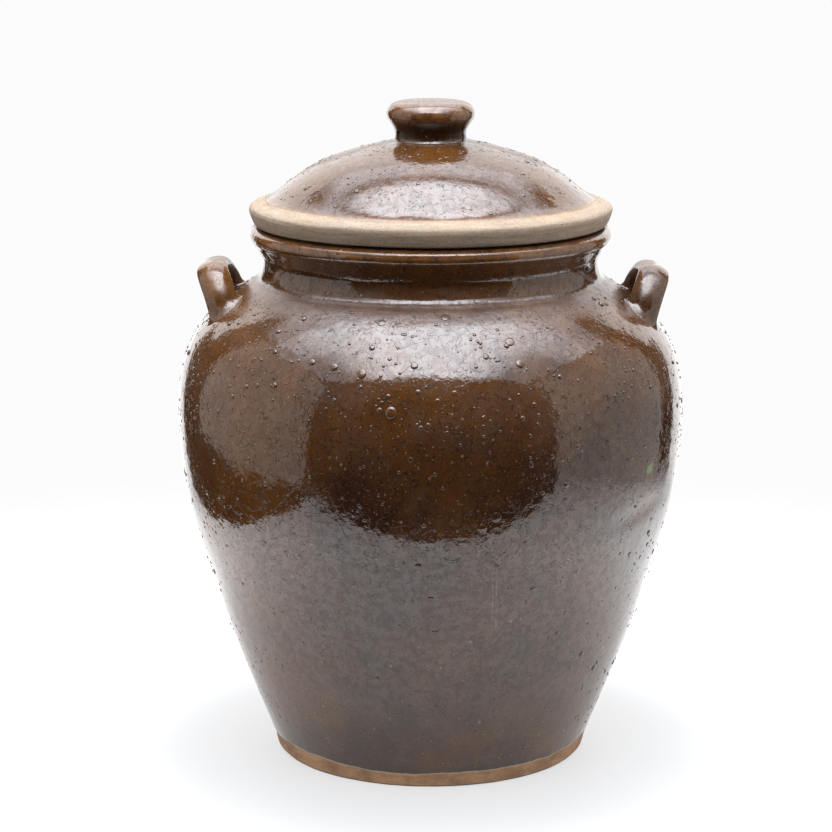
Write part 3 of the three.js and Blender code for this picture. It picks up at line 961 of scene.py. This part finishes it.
def hang_softbox():
    """A wide diffuser overhead, brightest in the middle, that lights the crock and shows in its gloss."""
    points = [(-SOFTBOX_HALF, SOFTBOX_FRONT, 0), (-SOFTBOX_HALF, SOFTBOX_BACK, 0)]
    points += [(-x, y, z) for x, y, z in points[::-1]]
    softbox = make_piece("softbox", points, [(0, 1, 2, 3)])
    softbox.location.z = SOFTBOX_HEIGHT
    softbox.visible_camera = False
    m = Shader(bpy.data.materials.new("softbox_cloth"))
    x, y = m.make("SeparateXYZ", {0: m.make("TexCoord").outputs["Object"]}).outputs[:2]
    off_middle = m.math("ABSOLUTE", m.plus(x, 0.03))
    over_crock = m.times(m.ramp(y, 0.62, 0.30), m.ramp(y, SOFTBOX_FRONT, -1.15))
    middle = m.times(m.ramp(off_middle, 1.15, 0.20), SOFTBOX_MIDDLE)
    bright = m.times(middle, over_crock)
    behind = m.times(m.ramp(off_middle, 1.10, 0.65), SOFTBOX_BEHIND)
    behind = m.times(behind, m.ramp(y, 0.48, 0.80))
    edge = m.plus(m.times(m.ramp(y, 0.55, 0.25), SOFTBOX_EDGE), 0.12)
    # Fainter wings out to the sides, which end sooner on the left.
    wings = m.times(m.ramp(off_middle, 0.60, 0.85), m.ramp(x, -1.42, -1.22))
    wings = m.times(wings, m.times(m.ramp(y, -0.35, -0.05), m.ramp(y, 0.95, 0.62)))
    strength = m.plus(m.most(bright, behind), edge)
    strength = m.plus(strength, m.times(wings, SOFTBOX_WINGS))
    glow = m.make("Emission", {"Color": SOFTBOX_TINT, "Strength": strength})
    softbox.data.materials.append(m.finish(glow))


# Panels of the white backdrop: middle across, middle height, width, height and radiance.
BACKDROP_Y = 1.30
BACKDROP = {
    "left": (-0.60, 0.05, 0.56, 1.30, 1.75),
    "right": (0.73, 0.05, 0.82, 1.30, 1.75),
    "middle": (0.0, 0.05, 0.64, 1.30, 1.0),
    "high": (0.09, 1.145, 2.66, 0.89, 1.65),
}


def light_studio():
    left = area_light("left_panel", (-1.05, -0.140, 0.50), (1, 0, 0), (1.38, 1.28), 0.60, (1, 0.98, 0.95))
    left.rotation_euler.rotate_axis("Z", math.radians(-10))
    right = area_light("right_panel", (1.05, -0.075, 0.43), (-1, 0, 0), (1.39, 1.36), 0.62, (1, 0.96, 0.92))
    right.rotation_euler.rotate_axis("Z", math.radians(5))
    for part, (x, z, width, height, radiance) in BACKDROP.items():
        area_light(f"backdrop_{part}", (x, BACKDROP_Y, z), (0, -1, 0), (width, height), radiance)
    hang_softbox()
    light_room()


ROOM_TINT = (0.86, 0.78, 0.82, 1)
SEEN_WHITE = (0.968, 0.968, 0.972, 1)  # what the camera sees behind everything


def light_room():
    """The dim room that shows in the dark parts of the gloss, cloudy and brighter higher up."""
    m = Shader(bpy.data.worlds.new("studio"))
    bpy.context.scene.world = m.owner
    direction = m.make("TexCoord").outputs["Generated"]
    cloudy = m.slope(m.noise(direction, 2.2, 2.0), 0.40, 0.65, 0.03, 0.20)
    higher = m.slope(m.make("SeparateXYZ", {0: direction}).outputs[2], -0.40, 0.45, 0.25, 1.6)
    room = m.make("Background", {"Color": ROOM_TINT, "Strength": m.times(cloudy, higher)})
    seen = m.make("Background", {"Color": SEEN_WHITE})
    by_camera = m.make("LightPath").outputs["Is Camera Ray"]
    m.finish(m.make("MixShader", {0: by_camera, 1: room.outputs[0], 2: seen.outputs[0]}), "OutputWorld")


TABLE_GLOW = 0.66  # the table glows, and more so a little way from the crock
TABLE_GLOW_AWAY = 1.85
TABLE_LEFT, TABLE_RIGHT, TABLE_FRONT, TABLE_BACK = -0.41, 0.60, -0.37, 1.0
TABLE_POINTS = 30  # each way


def lay_floor():
    """A pale table top that ends a little in front of the crock and fades into the white behind it."""
    xs = np.linspace(TABLE_LEFT, TABLE_RIGHT, TABLE_POINTS)
    ys = np.linspace(TABLE_FRONT, TABLE_BACK, TABLE_POINTS)
    points = [(x, y, 0) for y in ys for x in xs]
    faces = []
    for j in range(TABLE_POINTS - 1):
        for i in range(TABLE_POINTS - 1):
            a = j * TABLE_POINTS + i
            faces.append((a, a + 1, a + TABLE_POINTS + 1, a + TABLE_POINTS))
    floor = make_piece("floor", points, faces)
    m = Shader(bpy.data.materials.new("pale_floor"))
    place = m.make("TexCoord").outputs["Object"]
    mottle = m.ramp(m.noise(place, 6, 3), 0.3, 0.7)
    colour = m.mix(mottle, (0.165, 0.165, 0.165, 1), (0.175, 0.175, 0.175, 1))
    reach = m.make("VectorMath", {0: place}, operation="LENGTH").outputs["Value"]
    front_to_back = m.make("SeparateXYZ", {0: place}).outputs[1]
    away = m.times(m.ramp(reach, 0.13, 0.40), m.ramp(reach, 0.62, 0.34, "LINEAR"))
    sideways = m.plus(m.times(m.ramp(front_to_back, -0.32, 0.02, "LINEAR"), 0.75), 0.25)
    glow = m.mix_number(m.times(away, sideways), TABLE_GLOW, TABLE_GLOW_AWAY)
    lit = {"Emission Color": (1, 1, 1, 1), "Emission Strength": glow}
    solid = m.make("BsdfPrincipled", {"Base Color": colour, "Roughness": 0.6, "IOR": 1.2, **lit})
    gone = m.make("BsdfTransparent")
    mixed = m.make("MixShader", {0: m.ramp(reach, 0.50, 0.80), 1: solid.outputs[0], 2: gone.outputs[0]})
    floor.data.materials.append(m.finish(mixed))


CAMERA_PLACE = (-0.0088, -1.7457, 0.572)
CAMERA_DOWN = 11.84  # degrees
CAMERA_LENS, CAMERA_SENSOR = 126.46, 36  # in millimetres


def place_camera():
    data = bpy.data.cameras.new("camera")
    data.lens, data.sensor_width = CAMERA_LENS, CAMERA_SENSOR
    data.clip_end = 50
    camera = bpy.data.objects.new("camera", data)
    bpy.context.scene.collection.objects.link(camera)
    camera.location = CAMERA_PLACE
    camera.rotation_euler = (math.radians(90 - CAMERA_DOWN), 0, 0)
    bpy.context.scene.camera = camera


place_camera()
build()
lay_floor()
light_studio()
bpy.context.scene.view_settings.view_transform = "Standard"
